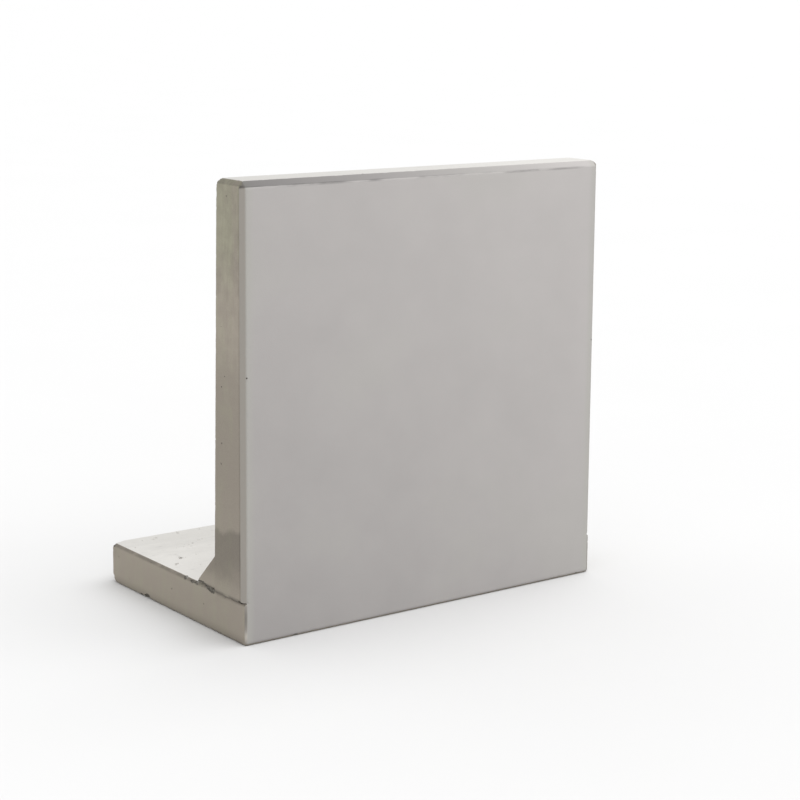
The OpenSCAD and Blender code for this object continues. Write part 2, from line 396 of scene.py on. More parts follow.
def end_face():
    material, place = new_material("end_face")
    y, z = (place.axis(letter) for letter in "YZ")
    streaks = cloud(place, 0.018, 3.0, (1.0, 1.0, 7.0))
    mottle = cloud(place, 0.035, 4.0, shift=5.0)
    grain = cloud(place, 0.002, 3.0)
    fine_streaks = cloud(place, 0.006, 3.0, (1.0, 1.0, 9.0), shift=8.0)
    by_the_face = y.near(FACE_Y + 24 * MM, 22 * MM)
    brown = (streaks * 0.5 + mottle * 0.5 + by_the_face * 0.25 + z.rise(0.90, 0.72) * 0.35).rise(0.40, 0.98)
    colour = blend(brown, END_OLIVE, END_BROWN)
    damp_height = z + (mottle - 0.5) * 0.05 + (y - FACE_Y) * 0.20
    damp = damp_height.rise(0.262, 0.242) * damp_height.rise(0.09, 0.20) * z.rise(0.10, 0.14)
    # Painted shade on the chamfered rim of the foot's top.
    painted_shade_foot_rim = z.near(FOOT_TOP - 3 * MM, 7 * MM) * y.rise(-0.12, -0.10)
    rim = painted_shade_foot_rim * (0.55 + cloud(place, 0.02, 3.0).rise(0.30, 0.55) * 0.45)
    # Painted shade under the seam's overhang, mixed with a stain.
    seam_stain_and_shade = z.near(FOOT_TOP, 9 * MM) * y.rise(-0.10, -0.11) * mottle.rise(0.30, 0.50)
    # Painted shade on the chamfered rim of the stem's top.
    painted_shade_top_rim = z.rise(TOP_Z - 13 * MM, TOP_Z - 9 * MM)
    far_corner = y.rise(HEEL_Y - 60 * MM, HEEL_Y - 20 * MM) * z.rise(55 * MM, 75 * MM)
    low_edge = z.rise(24 * MM, 0.0)
    runs = fine_streaks.rise(0.40, 0.70) * 0.07 + mottle.rise(0.35, 0.65) * 0.12 - 0.06
    run_down = z.rise(0.45, 0.80) * runs
    levels = z.near(0.40, 0.30) * 0.08 - z.near(0.70, 0.16) * 0.14
    edges = rim * 0.42 + seam_stain_and_shade * 0.50 + painted_shade_top_rim * 0.34 + low_edge * 0.24
    stains = damp * 0.30 + levels + edges
    arris_line = y.rise(FACE_Y + 17 * MM, FACE_Y + 12 * MM) * z.rise(FOOT_TOP, FOOT_TOP + 5 * MM)
    foot_pale = z.rise(FOOT_TOP, FOOT_TOP - 10 * MM) * (0.06 + y * 0.13)
    haunch_pale = y.rise(-0.185, -0.180) * z.rise(FOOT_TOP, FOOT_TOP + 5 * MM) * 0.07
    # worn also carries the painted shade of the rims and the seam, besides stains and grain.
    worn = stains + run_down + far_corner * 0.10 + arris_line * 0.16 + (0.5 - grain) * 0.25
    worn = worn - foot_pale - haunch_pale
    return plug(material, shade(colour, 1.0 - worn), 0.85 + mottle * 0.10, grain + mottle * 0.8, 0.5 * MM)


ENDS = end_face()

# %% [markdown]
# ## Finish: the pale tops
#
# The top of the foot, the haunch and the top edge of the stem were struck off and trowelled. Water and
# fine cement rise there and dry almost white. The trowel leaves broad, faint sweeps, and dust gathers in
# small grey smears.

# %% Trowelled tops
TOP_WHITE = (0.660, 0.645, 0.617)
TOP_GREY = (0.560, 0.548, 0.522)


def trowelled_top():
    material, place = new_material("trowelled_top")
    x, y, z = (place.axis(letter) for letter in "XYZ")
    sweeps = cloud(place, 0.045, 3.0, (4.0, 1.0, 1.0))
    smears = cloud(place, 0.016, 4.0, (1.8, 1.0, 1.0), shift=2.0)
    grain = cloud(place, 0.003, 3.0)
    heel_band = y.rise(0.04, HEEL_Y - 40 * MM)
    grey = (sweeps * 0.55 + smears * 0.35 + heel_band * 0.50).rise(0.40, 1.0)
    colour = blend(grey, TOP_WHITE, TOP_GREY)
    stem_top = z.rise(TOP_Z - 30 * MM, TOP_Z - 10 * MM) * (0.20 - x * 0.16)
    colour = shade(colour, 1.0 - smears.rise(0.62, 0.78) * 0.14 - (0.5 - grain) * 0.10 - stem_top)
    return plug(material, colour, 0.80 + smears * 0.12, sweeps * 1.5 + grain * 0.6, 0.5 * MM)


TOPS = trowelled_top()

# %% [markdown]
# ## Finish: the back of the stem
#
# The back faces the soil and nobody smooths it with care. It is a middle grey with level bands from the
# board that was drawn across it, and blotches where it dried unevenly.

# %% Back of the stem
BACK_LIGHT = (0.430, 0.420, 0.400)
BACK_DARK = (0.330, 0.318, 0.295)


def drawn_back():
    material, place = new_material("drawn_back")
    z = place.axis("Z")
    bands = cloud(place, 0.020, 3.0, (12.0, 1.0, 1.0))
    blotches = cloud(place, 0.11, 4.0, shift=1.0)
    grain = cloud(place, 0.003, 3.0)
    grey = (bands * 0.40 + blotches * 0.50 + z.rise(0.5, 0.15) * 0.22).rise(0.28, 0.80)
    colour = shade(blend(grey, BACK_LIGHT, BACK_DARK), 1.0 - (0.5 - grain) * 0.20)
    return plug(material, colour, 0.84 + blotches * 0.10, bands * 2.2 + grain * 0.5, 0.8 * MM)


BACK = drawn_back()

# %% [markdown]
# ## Finish: broken concrete
#
# Inside a chip or an air pore the skin of fine cement is missing. Sand grains show, and the surface is
# rough and darker. The shallow pores in the pale tops are only a little darker than the skin round them.

# %% Broken concrete
BROKEN_DARK = (0.080, 0.073, 0.060)
BROKEN_LIGHT = (0.200, 0.187, 0.160)
PORE_DARK = (0.440, 0.425, 0.392)
PORE_LIGHT = (0.600, 0.585, 0.550)


def broken_concrete():
    material, place = new_material("broken_concrete")
    x, y, z = (place.axis(letter) for letter in "XYZ")
    sand = cloud(place, 0.0022, 4.0)
    grains = sand.rise(0.35, 0.65)
    inside_rim = abs(x).rise(FOOT_HALF - 4 * MM, FOOT_HALF - 9 * MM)
    on_top = inside_rim * y.rise(-0.182, -0.176) * z.rise(0.07, 0.08)
    colour = blend(on_top, blend(grains, BROKEN_DARK, BROKEN_LIGHT), blend(grains, PORE_DARK, PORE_LIGHT))
    return plug(material, colour, 0.92 + sand * 0.05, sand, 0.9 * MM)


BROKEN = broken_concrete()

# %% [markdown]
# ## The block: sawn from boxes
#
# A list of corners would be awkward where the chamfers meet, so think like a sawyer: start foot, haunch
# and stem as boxes and cut a slice off wherever the mould had a chamfer strip. Bisect does the sawing,
# and a fill closes the cut. The blocks are then fused into one solid. Two solids that only touch would
# keep a seam all round, so a key block goes through the joint of foot and stem. Two more blocks fill the
# groove at the ends where leaked paste has closed it.


# %% Saw the blocks
def box_mesh(low, high):
    block = bmesh.new()
    bmesh.ops.create_cube(block, size=1.0)
    middle, size = (Vector(low) + Vector(high)) / 2, Vector(high) - Vector(low)
    for vert in block.verts:
        vert.co = middle + Vector(a * b for a, b in zip(vert.co, size))
    return block


def saw(block, point, away):
    """Cuts off everything on the side that away points to."""
    everything = block.verts[:] + block.edges[:] + block.faces[:]
    cut = bmesh.ops.bisect_plane(block, geom=everything, plane_co=point, plane_no=away, clear_outer=True)
    rim = [item for item in cut["geom_cut"] if isinstance(item, bmesh.types.BMEdge)]
    bmesh.ops.contextual_create(block, geom=rim)


def as_object(name, block):
    bmesh.ops.recalc_face_normals(block, faces=block.faces[:])
    mesh = bpy.data.meshes.new(name)
    block.to_mesh(mesh)
    block.free()
    return new_object(name, mesh)


def cast_stem():
    stem = box_mesh((-HALF, FACE_Y, FOOT_TOP), (HALF, rear_y(FOOT_TOP), TOP_Z))
    saw(stem, (0, rear_y(TOP_Z), TOP_Z), (0, 1, TAPER))
    saw(stem, (0, FACE_Y + TOP_CHAMFER, TOP_Z), (0, -1, 1))
    saw(stem, (0, rear_y(TOP_Z) - REAR_CHAMFER, TOP_Z), (0, 1, 1))
    for side in (-1, 1):
        saw(stem, (side * (HALF - END_CHAMFER), FACE_Y, 0), (side, -1, 0))
        saw(stem, (side * (HALF - END_CHAMFER), 0, TOP_Z), (side, 0, 1))
    return as_object("stem_block", stem)


def cast_foot():
    foot = box_mesh((-FOOT_HALF, FACE_Y, 0), (FOOT_HALF, HEEL_Y, FOOT_TOP))
    saw(foot, (0, FACE_Y + BASE_CHAMFER, 0), (0, -1, -1))
    saw(foot, (0, HEEL_Y - HEEL_TOP_CHAMFER, FOOT_TOP), (0, 1, 1))
    saw(foot, (0, HEEL_Y - HEEL_BASE_CHAMFER, 0), (0, 1, -1))
    for side in (-1, 1):
        saw(foot, (side * (FOOT_HALF - FACE_CHAMFER), FACE_Y, 0), (side, -1, 0))
        saw(foot, (side * (FOOT_HALF - HEEL_CORNER_CHAMFER), HEEL_Y, 0), (side, 1, 0))
        saw(foot, (side * (FOOT_HALF - BASE_CHAMFER), 0, 0), (side, 0, -1))
        saw(foot, (side * (FOOT_HALF - RIM_CHAMFER), 0, FOOT_TOP), (side, 0, 1))
        saw(foot, (side * FOOT_HALF, HEEL_Y - 23 * MM, FOOT_TOP), (side * 0.4, 1, 1))
        saw(foot, (side * FOOT_HALF, HEEL_Y - 27 * MM, 0), (side * 0.5, 1, -0.8))
    return as_object("foot_block", foot)


def cast_haunch():
    start_y = FACE_Y + STEM_TOP_T / 3
    toe_y = FACE_Y + STEM_BASE_T + HAUNCH
    haunch = box_mesh((-FOOT_HALF, start_y, FOOT_TOP - 0.01), (FOOT_HALF, toe_y, FOOT_TOP + HAUNCH))
    crest_y = rear_y(FOOT_TOP + HAUNCH)
    saw(haunch, (0, toe_y, FOOT_TOP), (0, HAUNCH, toe_y - crest_y))
    for side in (-1, 1):
        saw(haunch, (side * (FOOT_HALF - RIM_CHAMFER), 0, FOOT_TOP), (side, 0, -1))
    return as_object("haunch_block", haunch)


def cast_key():
    """A block through the joint of stem and foot, so that the two become one solid with one front."""
    inside = HALF - END_CHAMFER - 0.2 * MM
    above, below, rear = FOOT_TOP + 20 * MM, FOOT_TOP - 20 * MM, rear_y(FOOT_TOP) - 7 * MM
    return as_object("key_block", box_mesh((-inside, FACE_Y, below), (inside, rear, above)))


def cast_leak(side):
    """Paste that leaked into the groove between stem and foot and stayed there."""
    ends = sorted((side * (FOOT_HALF - 10 * MM), side * (HALF - 2.5 * MM)))
    low = (ends[0], -0.221, FOOT_TOP - 8.2 * MM)
    high = (ends[1], -0.181, FOOT_TOP + 2.2 * MM)
    return as_object("leak_block", box_mesh(low, high))


def fuse(target, other, operation, solver="EXACT"):
    """Adds another solid to the target, or takes it away, and removes the other object."""
    joined = target.modifiers.new("fuse", "BOOLEAN")
    joined.operation, joined.solver, joined.object = operation, solver, other
    joined.material_mode = "TRANSFER"
    result = bpy.data.meshes.new_from_object(target.evaluated_get(bpy.context.evaluated_depsgraph_get()))
    target.modifiers.clear()
    target.data = result
    bpy.data.objects.remove(other)


wall = cast_foot()
wall.name = "cast_concrete_wall"
fuse(wall, cast_haunch(), "UNION")
fuse(wall, cast_key(), "UNION")
fuse(wall, cast_stem(), "UNION")
for side in (-1, 1):
    fuse(wall, cast_leak(side), "UNION")
print("sawn block:", len(wall.data.polygons), "faces,", tuple(round(d, 3) for d in wall.dimensions), "m")

# %% [markdown]
# ## Which finish goes where
#
# The finish depends on which way a flat faces. Giving out the materials now, while the block has only a
# few dozen flats, is simple; every face that is cut from a flat later keeps its material. The order of
# the questions matters at the chamfers, which face two ways.

# %% Give each flat its finish
FINISHES = [FORMED, ENDS, TOPS, BACK, BROKEN]


def finish_of(centre, facing):
    if facing.y < -0.5 and facing.z > -0.5:
        return FORMED
    if abs(facing.x) > 0.5:
        return ENDS
    if facing.z > 0.5:
        return TOPS
    if facing.y > 0.5 and centre.z > FOOT_TOP:
        return BACK
    return ENDS


wall.data.materials.clear()
for material in FINISHES:
    wall.data.materials.append(material)
for face in wall.data.polygons:
    face.material_index = FINISHES.index(finish_of(face.center, face.normal))
print("flats with a finish:", len(wall.data.polygons))

# %% [markdown]
# ## Where the arrises are
#
# An arris is the sharp edge between two flats. Mould leaks and knocks leave it uneven, and that is where
# concrete looks like concrete. The outward edges are collected now, each with its two ends and the
# direction halfway between its flats. Distance to the nearest arris decides both how fine the mesh is and
# how much it is worn.


# %% Collect the arrises
def outward_edges(mesh):
    block = bmesh.new()
    block.from_mesh(mesh)
    bmesh.ops.dissolve_limit(block, angle_limit=math.radians(1), verts=block.verts[:], edges=block.edges[:])
    found = []
    for edge in block.edges:
        if edge.is_convex and edge.calc_face_angle() > math.radians(12):
            start, end = (np.array(vert.co) for vert in edge.verts)
            outward = (edge.link_faces[0].normal + edge.link_faces[1].normal).normalized()
            found.append((start, end, np.array(outward)))
    block.free()
    return found


def reach(points, start, end):
    """How far each point is from the line between start and end."""
    along = end - start
    share = ((points - start) @ along / (along @ along)).clip(0, 1)
    return np.linalg.norm(points - start - share[:, None] * along, axis=1)


def nearest_arris(points):
    found = np.full(len(points), 1.0)
    for start, end, outward in ARRISES:
        found = np.minimum(found, reach(points, start, end))
    return found


ARRISES = outward_edges(wall.data)
total = sum(float(np.linalg.norm(end - start)) for start, end, outward in ARRISES)
print(len(ARRISES), "arrises,", round(total, 2), "m in all")

# %% [markdown]
# ## A mesh that is fine only where it matters
#
# Wear needs points a few millimetres apart, but on the large flats that would make hundreds of thousands
# of them. So the block is first scored into coarse squares, and then any edge that is too long for its
# distance from an arris is halved, in four passes.

# %% Score and refine
COARSE = 50 * MM
FINEST = 2.8 * MM
GROWTH = 0.60


def score(block, step):
    for axis, (low, high) in enumerate(zip(WALL_LOW, WALL_HIGH)):
        across = Vector((axis == 0, axis == 1, axis == 2))
        for place in np.arange(low + step / 2, high, step):
            everything = block.verts[:] + block.edges[:] + block.faces[:]
            bmesh.ops.bisect_plane(block, geom=everything, plane_co=across * place, plane_no=across)


def refine(mesh, passes=4):
    block = bmesh.new()
    block.from_mesh(mesh)
    score(block, COARSE)
    bmesh.ops.triangulate(block, faces=block.faces[:])
    for halving in range(passes):
        edges = block.edges[:]
        ends = np.array([[edge.verts[0].co, edge.verts[1].co] for edge in edges])
        length = np.linalg.norm(ends[:, 0] - ends[:, 1], axis=1)
        wanted = FINEST + GROWTH * nearest_arris(ends.mean(axis=1))
        long_edges = [edges[i] for i in np.flatnonzero(length > 1.5 * wanted)]
        bmesh.ops.subdivide_edges(block, edges=long_edges, cuts=1)
        bmesh.ops.triangulate(block, faces=[face for face in block.faces if len(face.verts) > 3])
    bmesh.ops.dissolve_degenerate(block, dist=0.02 * MM, edges=block.edges[:])
    bmesh.ops.triangulate(block, faces=[face for face in block.faces if len(face.verts) > 3])
    block.to_mesh(mesh)
    block.free()


refine(wall.data)
print("refined wall:", len(wall.data.polygons), "triangles")

# %% [markdown]
# ## Wear the arrises
#
# A worn arris is like a tiny chamfer whose width keeps changing, so each point near an arris is moved
# inward until it lies on such a chamfer. The width is a steady small rounding made ragged by fine noise,
# and broad noise picks the stretches that are worn deeper. The trowelled and drawn surfaces also get a
# hand-made waviness of under a millimetre. The mating flats, the base and the ends, stay true.

# %% Wear and waviness
ROUNDING = 0.7 * MM
DEEPEST_WEAR = 3.4 * MM
TRUE_MARGIN = 8 * MM
BROAD_WAVE = (0.13, 0.70 * MM)
SMALL_WAVE = (0.035, 0.30 * MM)


def noise_at(points, size, shift=0.0):
    """Smooth noise from about -1 to 1 at each point, with lumps of that size in metres."""
    return np.array([noise.noise(Vector(point) / size + Vector((shift, 0, 0))) for point in points])


def wear(mesh):
    points = np.array([vert.co for vert in mesh.vertices])
    facing = np.array([vert.normal for vert in mesh.vertices])
    gap = nearest_arris(points)
    close = np.flatnonzero(gap < DEEPEST_WEAR)
    ragged = noise_at(points[close], 14 * MM).clip(0, 1)
    ragged += 0.5 * noise_at(points[close], 5 * MM, 7.0).clip(0, 1)
    knocked = (noise_at(points[close], 60 * MM, 3.0) * 2.2 - 0.25).clip(0, 1)
    width = ROUNDING + DEEPEST_WEAR * (0.22 * ragged + 0.55 * ragged * knocked)
    moved = np.zeros((len(close), 3))
    for start, end, outward in ARRISES:
        moved -= ((width - reach(points[close], start, end)).clip(0) / math.sqrt(2))[:, None] * outward
    open_top = (facing[:, 2] > 0.6) & (points[:, 2] < TOP_Z - 0.1)
    back = (facing[:, 1] > 0.6) & (points[:, 2] > FOOT_TOP + HAUNCH)
    wavy = np.flatnonzero((open_top | back) & (gap > TRUE_MARGIN))
    swell = noise_at(points[wavy], BROAD_WAVE[0], 1.0) * BROAD_WAVE[1]
    swell += noise_at(points[wavy], SMALL_WAVE[0], 5.0) * SMALL_WAVE[1]
    fade = ((gap[wavy] - TRUE_MARGIN) / (30 * MM)).clip(0, 1)
    points[wavy] += facing[wavy] * ((swell - 0.4 * MM) * fade)[:, None]
    points[close] += moved
    mesh.vertices.foreach_set("co", points.ravel())
    mesh.update()
    return len(close), len(wavy)


print("points worn and waved:", wear(wall.data))

# %% [markdown]
# ## Stones to break pieces out with
#
# A chip is the print of a broken-out lump, so its tool is a lump: a ball with noise on it, squashed and
# turned. Taking many such lumps away at once gives chips and air pores with real edges. Everything is
# drawn from one seeded generator, so each run breaks the same pieces.


# %% Lumps
CHANCE = random.Random(11)
LUMP_ROUGHNESS = 0.45


def add_lump(block, centre, size, detail=2):
    """Adds a rough ball of that full size, one number or three, at centre."""
    sizes = Vector(size) if isinstance(size, (tuple, list, Vector)) else Vector((size,) * 3)
    made = bmesh.ops.create_icosphere(block, subdivisions=detail, radius=0.5)["verts"]
    spin = Matrix.Rotation(CHANCE.uniform(0, math.tau), 3, Vector((CHANCE.random(), CHANCE.random(), 1)))
    shift = Vector((CHANCE.uniform(0, 50), 0, 0))
    for vert in made:
        rough = vert.co * (1 + LUMP_ROUGHNESS * noise.noise(vert.co * 2.5 + shift))
        vert.co = Vector(centre) + Vector(a * b for a, b in zip(spin @ rough, sizes))


lumps = bmesh.new()
print("the first random number is", round(CHANCE.random(), 4))

# %% [markdown]
# ## The ragged seam
#
# The stem's side shutters stood on the foot's, and the paste that leaked between them was broken off. It
# left a rough dark line on both ends, deep under the haunch and thin under the stem. Each stretch of it
# is a rope of changing thickness, laid half into the concrete and taken away. It lists its thickest and
# thinnest radius in millimetres and its points as Y and Z.

# %% Seam ropes
SEAM_STRETCHES = [
    (6.4, 3.2, [(-0.104, 0.0990), (-0.124, 0.0985), (-0.146, 0.0940), (-0.160, 0.0905), (-0.174, 0.0890)]),
    (3.0, 1.2, [(-0.223, 0.0960), (-0.240, 0.0950), (-0.262, 0.0945), (-0.283, 0.0940)]),
]


def rope_mesh(name, spine, thick, thin, shift):
    """A rough rope through spine, a list of points, from thin to thick where noise says so."""
    knots = np.array(spine)
    run = np.concatenate([[0], np.cumsum(np.linalg.norm(np.diff(knots, axis=0), axis=1))])
    steps = np.linspace(0, run[-1], max(4, round(run[-1] / (2.2 * MM))))
    line = np.stack([np.interp(steps, run, knots[:, axis]) for axis in range(3)], axis=1)
    around = np.linspace(0, math.tau, 9)[:-1]
    rings = []
    for place, step in zip(line, np.gradient(line, axis=0)):
        along = step / np.linalg.norm(step)
        across = np.cross(along, (1.0, 0.0, 0.0))
        lumpy = noise.noise(Vector(place) / (5 * MM) + Vector((shift, 0, 0)))
        radius = thin + (thick - thin) * (0.5 + 0.9 * lumpy)
        circle = []
        for turn in around:
            dent = noise.noise(Vector((turn * 2, *place[1:] * 300)))
            aside = math.cos(turn) * across + math.sin(turn) * np.array((1.0, 0, 0))
            circle.append(place + radius * (1 + 0.35 * dent) * aside)
        rings.append(circle)
    return tube_mesh(name, np.array(rings).clip(-1, 1))


def carve(cutter, finish):
    """Takes the cutter out of the wall and gives the cut that finish."""
    cutter.data.materials.append(finish)
    fuse(wall, cutter, "DIFFERENCE", "MANIFOLD")


def cut_seams(end):
    for number, (thick, thin, stretch) in enumerate(SEAM_STRETCHES):
        spine = [(end * (FOOT_HALF + 0.6 * MM), y, z) for y, z in stretch]
        shape = rope_mesh("seam_rope", spine, thick * MM, thin * MM, 9.0 * end + number)
        carve(new_object("seam_rope", shape), BROKEN)


for end in (-1, 1):
    cut_seams(end)
print("after the seams:", len(wall.data.polygons), "faces")

# %% [markdown]
# ## Chips
#
# The arrises got knocked while the element was stripped, stacked and trucked. The larger chips are listed
# one by one, most of them on the foot. Each has a centre in metres and a size in millimetres. Small nicks
# are then scattered along the arrises by chance: long ones get more, and those round the smooth face,
# which is handled with care, get fewer.

# %% Knock out the chips
CHIPS = [
    ((-FOOT_HALF + 1 * MM, -0.0490, FOOT_TOP - 2 * MM), (14, 14, 11)),
    ((-FOOT_HALF + 1 * MM, -0.0960, FOOT_TOP - 2 * MM), (14, 15, 10)),
    ((-FOOT_HALF, -0.0780, FOOT_TOP - 4 * MM), (9, 18, 7)),
    ((-FOOT_HALF, 0.1250, 0.003), (15, 27, 17)),
    ((-FOOT_HALF, 0.1480, 0.001), (9, 20, 10)),
    ((-FOOT_HALF, -0.2840, FOOT_TOP), (13, 10, 10)),
    ((-FOOT_HALF + 2 * MM, HEEL_Y - 19 * MM, FOOT_TOP - 4 * MM), (11, 12, 9)),
    ((-FOOT_HALF, HEEL_Y - 15 * MM, 0.012), (9, 10, 14)),
    ((FOOT_HALF, -0.2840, FOOT_TOP), (10, 9, 8)),
    ((FOOT_HALF, 0.0700, FOOT_TOP), (9, 19, 8)),
    ((FOOT_HALF, -0.1300, 0.001), (8, 15, 8)),
    ((-0.1700, HEEL_Y, 0.0140), (22, 8, 9)),
    ((0.2950, HEEL_Y - 10 * MM, FOOT_TOP), (16, 9, 8)),
    ((-0.3600, FACE_Y + 1 * MM, 0.0020), (12, 6, 7)),
    ((0.2100, rear_y(TOP_Z), TOP_Z), (18, 8, 8)),
]
for centre, size in CHIPS:
    add_lump(lumps, centre, [part * MM for part in size], detail=3)

NICKS_PER_METRE = 2.6
CARE_FOR_FACE = 0.3
nicks = 0
for start, end, outward in ARRISES:
    length = float(np.linalg.norm(end - start))
    if max(start[1], end[1]) < FACE_Y + 15 * MM:
        length *= CARE_FOR_FACE
    for nick in range(int(length * NICKS_PER_METRE + CHANCE.random())):
        spot = start + (end - start) * CHANCE.random()
        add_lump(lumps, spot, CHANCE.triangular(2.4, 6.5, 3.2) * MM, detail=1)
        nicks += 1
print(len(CHIPS), "chips placed and", nicks, "nicks by chance")

# %% [markdown]
# ## Air pores
#
# Air rises through wet concrete and is caught under its skin, so the tops and the back have pores of a
# few millimetres, and the ends a few small ones. Near the left end of the foot they come in groups, each
# listed with its place and number. The rest are strewn over regions: two numbers from -1 to 1 pick the
# place, and most are small.

# %% Open the pores
GROUP_SPREAD = (14 * MM, 10 * MM)
PORE_GROUPS = [
    (-0.30, 0.19, 2), (-0.36, 0.16, 4), (-0.43, 0.08, 3), (-0.46, 0.05, 2),
    (-0.39, 0.26, 2), (-0.33, 0.28, 2), (-0.26, 0.28, 1), (-0.24, 0.12, 1),
]
grouped = 0
for x, y, count in PORE_GROUPS:
    for pore in range(count):
        size = CHANCE.uniform(3.0, 6.0) * MM
        aside, ahead = (CHANCE.uniform(-spread, spread) for spread in GROUP_SPREAD)
        add_lump(lumps, (x + aside, y + ahead, FOOT_TOP), (size * 1.7, size * 1.3, size * 0.6))
        grouped += 1

HAUNCH_MIDDLE = (-0.1405, 0.1375)
POCKETS = {
    "foot top": (60, lambda a, b: (a * 0.47, 0.098 + b * 0.185, FOOT_TOP)),
    "haunch": (30, lambda a, b: (a * 0.47, HAUNCH_MIDDLE[0] + b * 0.036, HAUNCH_MIDDLE[1] - b * 0.0366)),
    "back": (130, lambda a, b: (a * 0.47, rear_y(0.60 + b * 0.38), 0.60 + b * 0.38)),
    "left end": (6, lambda a, b: (-HALF, FACE_Y + (55 + a * 32) * MM, 0.55 + b * 0.43)),
    "right end": (6, lambda a, b: (HALF, FACE_Y + (55 + a * 32) * MM, 0.55 + b * 0.43)),
    "left foot": (4, lambda a, b: (-FOOT_HALF, a * 0.27, (46 + b * 32) * MM)),
    "right foot": (4, lambda a, b: (FOOT_HALF, a * 0.27, (46 + b * 32) * MM)),
    "heel": (18, lambda a, b: (a * 0.46, HEEL_Y, (50 + b * 28) * MM)),
}
for count, place in POCKETS.values():
    for pore in range(count):
        spot = place(CHANCE.uniform(-1, 1), CHANCE.uniform(-1, 1))
        add_lump(lumps, spot, CHANCE.triangular(1.6, 6.0, 2.2) * MM, detail=1)
print(sum(count for count, place in POCKETS.values()), "pores by chance and", grouped, "in groups")

# %% Take the lumps away
carve(as_object("breaker", lumps), BROKEN)
print("after chips and pores:", len(wall.data.polygons), "faces")

# %% [markdown]
# ## Room for the sockets
#
# A small plate held each lifting socket to the mould and left a round, shallow recess in the back of the
# stem. The socket's own node says where it is. One turned plug, a rod with a flared end, is taken out of
# the concrete for both.

# %% Recesses
SOCKETS = ["left_lifting_socket", "right_lifting_socket"]
RECESS_MARGIN = 2 * MM
RECESS_RUN = 14 * MM
RECESS_FLARE = 9 * MM
SIDES = 48
AROUND = np.linspace(0, math.tau, SIDES + 1)[:-1]
CIRCLE = np.stack([np.cos(AROUND), np.zeros(SIDES), np.sin(AROUND)], axis=1)


def ring(middle, y, radius):
    """A ring at y round an axis through the middle. The radius is one number or one for each side."""
    return np.array((middle.x, y, middle.z)) + CIRCLE * np.array(radius).reshape(-1, 1)


for name in SOCKETS:
    low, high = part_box(name)
    middle = (low + high) / 2
    radius = (high.x - low.x) / 2
    floor_radius = radius + RECESS_MARGIN
    profile = [(low.y, radius), (high.y, radius), (high.y, floor_radius)]
    profile.append((high.y + RECESS_RUN, floor_radius + RECESS_FLARE))
    rings = np.array([ring(middle, y, wide) for y, wide in profile])
    carve(new_object("plug_shape", tube_mesh("plug_shape", rings)), BACK)
print("after the recesses:", len(wall.data.polygons), "faces")

# %% [markdown]
# ## Finish the casting
#
# Smooth shading joins the small facets of the worn arrises, and edges that turn sharply stay crisp. The
# casting then stands for the CAD node, which is hidden, and rides on the root body.

# %% Hand over the casting
smooth(wall.data, 32)
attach(wall, "root")
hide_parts("concrete_wall")
print(wall.name, "has", len(wall.data.vertices), "points")

# %% [markdown]
# ## Finish: reinforcing steel
#
# Reinforcing bars come from the mill with a blue-grey scale and gather orange rust in the yard. The rust
# starts in spots and spreads, so a cloud of fine spots is added to a broad one.

# %% Bar steel
SCALE_GREY = (0.085, 0.080, 0.082)
RUST = (0.300, 0.115, 0.045)


def bar_steel():
    material, place = new_material("rusted_bar_steel")
    spread = cloud(place, 0.050, 3.0)
    spots = cloud(place, 0.004, 4.0)
    rusty = (spread * 0.6 + spots * 0.5).rise(0.42, 0.68)
    colour = blend(rusty, SCALE_GREY, RUST)
    return plug(material, colour, 0.50 + rusty * 0.35, spots, 0.15 * MM, metallic=0.55)


STEEL = bar_steel()

# %% [markdown]
# ## Ribbed bars
#
# A smooth rod would pull out of the concrete, so every bar is rolled with slanting ribs and two plain
# seams along it. Rings follow the bar's centre line, and each ring's radius swells where a rib passes.
# The rib's place is shifted with the angle round the bar, which slants it. All bars of one kind share one
# mesh, like bars cut to one length.

# %% Bar helpers
RIB_EVERY = 0.72
RIB_HEIGHT = 0.075
RINGS_PER_RIB = 3


def rounded_line(corners, bend, step):
    """Points along a line of two or three corners, with the middle corner rounded to that radius."""
    start, end = np.array(corners[0], float), np.array(corners[-1], float)
    if len(corners) == 2:
        count = max(2, round(float(np.linalg.norm(end - start)) / step))
        return np.linspace(start, end, count + 1)
    corner = np.array(corners[1], float)
    back = (start - corner) / np.linalg.norm(start - corner)
    ahead = (end - corner) / np.linalg.norm(end - corner)
    first, last = corner + back * bend, corner + ahead * bend
    centre = corner + (back + ahead) * bend
    turns = np.linspace(0, math.pi / 2, round(bend * math.pi / 2 / step) + 1)[1:-1]
    arc = [centre - ahead * bend * math.cos(turn) - back * bend * math.sin(turn) for turn in turns]
    legs = [np.linspace(start, first, round(float(np.linalg.norm(start - first)) / step)), arc,
            np.linspace(last, end, round(float(np.linalg.norm(end - last)) / step))]
    return np.concatenate(legs)


def ribbed_rings(line, diameter, across, sides):
    """Rings along the line, with ribs. across is square to every stretch of the line."""
    across = np.array(across, float)
    ahead = np.gradient(line, axis=0)
    ahead /= np.linalg.norm(ahead, axis=1)[:, None]
    up = np.cross(ahead, across)
    angles = (np.arange(sides) + 0.5) * math.tau / sides
    run = np.concatenate([[0], np.cumsum(np.linalg.norm(np.diff(line, axis=0), axis=1))])
    slant = np.abs(((angles / math.pi) % 1.0) - 0.5)
    phase = run[:, None] / (RIB_EVERY * diameter) + slant[None, :]
    crest = (np.cos(math.tau * phase) * 1.4).clip(-0.4, 1.0) * np.abs(np.sin(angles))[None, :]
    radius = diameter / 2 * (1 - RIB_HEIGHT + RIB_HEIGHT * crest)
    spots = np.cos(angles)[None, :, None] * across + np.sin(angles)[None, :, None] * up[:, None, :]
    return line[:, None, :] + radius[:, :, None] * spots


BENT_SIDES = 10
STRAIGHT_SIDES = 8
LAID_BARS = []


